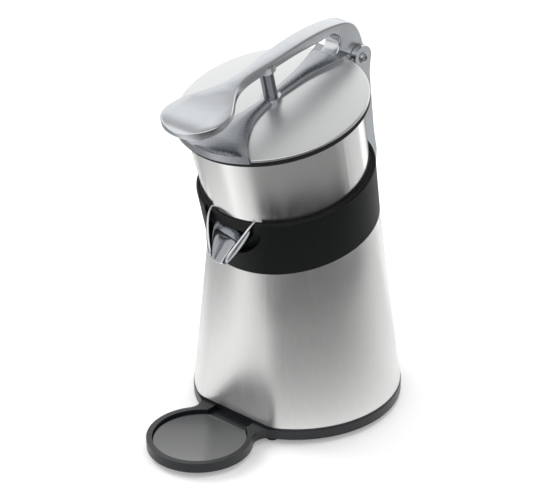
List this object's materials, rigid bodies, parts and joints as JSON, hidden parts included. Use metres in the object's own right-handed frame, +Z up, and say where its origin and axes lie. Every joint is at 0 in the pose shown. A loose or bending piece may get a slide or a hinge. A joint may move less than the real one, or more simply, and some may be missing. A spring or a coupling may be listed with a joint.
{
  "type": "electric citrus juicer",
  "caption": "Lever citrus juicer: drip-tray base, tapered steel body, leaning black collar, steel bowl with spout, and a hinged pressing lever with lid over a driven reamer.",
  "frame": {"origin": "on the table, under the middle of the whole outline", "axes": "+Z up, drip tray and spout towards -Y, hinge of the lever towards +Y"},
  "size_m": [0.2012, 0.2963, 0.3692],
  "materials": {
    "black_moulding": "fine satin",
    "rubber": "dull",
    "brushed_casing": "vertical brush lines",
    "polished_steel": "mirror polished",
    "cast_aluminium": "polished casting",
    "satin_aluminium": "satin",
    "zinc_steel": "bright zinc",
    "motor_casting": "as cast",
    "core_sheet": "varnished sheet stack",
    "copper_wire": "varnished",
    "dark_plastic": "moulded",
    "white_plastic": "moulded"
  },
  "bodies": {
    "frame": {"base_tray": "black_moulding", "collar": "black_moulding", "cable_gland": "black_moulding", "gland_nut": "black_moulding", "rubber_feet": "rubber", "motor_mounts": "rubber", "shaft_seal": "rubber", "body_shell": "brushed_casing", "bowl": "polished_steel", "spout": "polished_steel", "strainer": "polished_steel", "hinge_bracket": "cast_aluminium", "foot_screws": "zinc_steel", "tie_rods": "zinc_steel", "tie_nuts": "zinc_steel", "bracket_screws": "zinc_steel", "hinge_pin": "zinc_steel", "hinge_nut": "zinc_steel", "motor_bolts": "zinc_steel", "upper_bearing": "zinc_steel", "lower_bearing": "zinc_steel", "capacitor_clip": "zinc_steel", "switch_bracket": "zinc_steel", "switch_screws": "zinc_steel", "upper_end_bell": "motor_casting", "lower_end_bell": "motor_casting", "stator_core": "core_sheet", "upper_winding": "copper_wire", "lower_winding": "copper_wire", "micro_switch": "dark_plastic", "terminal_block": "white_plastic", "run_capacitor": "white_plastic"},
    "lever": {"lever": "cast_aluminium", "lid": "satin_aluminium", "lid_seal": "rubber", "lid_screws": "zinc_steel", "press_rod": "cast_aluminium", "press_cup": "cast_aluminium", "rod_nut": "zinc_steel"},
    "rotor": {"rotor_core": "core_sheet", "motor_shaft": "zinc_steel", "cooling_fan": "dark_plastic", "fan_clip": "zinc_steel"},
    "spindle": {"drive_spindle": "zinc_steel", "reamer": "white_plastic", "return_spring": "zinc_steel"},
    "switch_pin": {"switch_actuator": "dark_plastic"}
  },
  "joints": [
    {"name": "lever_hinge", "type": "hinge", "parent": "frame", "child": "lever", "pos_m": [0, 0.12097, 0.32765], "axis": [-1, 0, 0], "range_deg": [0, 105]},
    {"name": "rotor_spin", "type": "hinge", "parent": "frame", "child": "rotor", "pos_m": [0, 0.04043, 0.187], "axis": [0, -0.2198, 0.9755], "continuous": true},
    {"name": "spindle_press", "type": "slide", "parent": "rotor", "child": "spindle", "axis": [0, 0.2198, -0.9755], "range_m": [0, 0.0025], "stiffness_N_per_m": 4000, "springref_m": -0.002, "deforming": ["return_spring"]},
    {"name": "switch_press", "type": "slide", "parent": "frame", "child": "switch_pin", "axis": [0, 0.2198, -0.9755], "range_m": [0, 0.0025]}
  ],
  "couplings": [
    {"joint": "switch_press", "follows": "spindle_press", "ratio": 1}
  ]
}
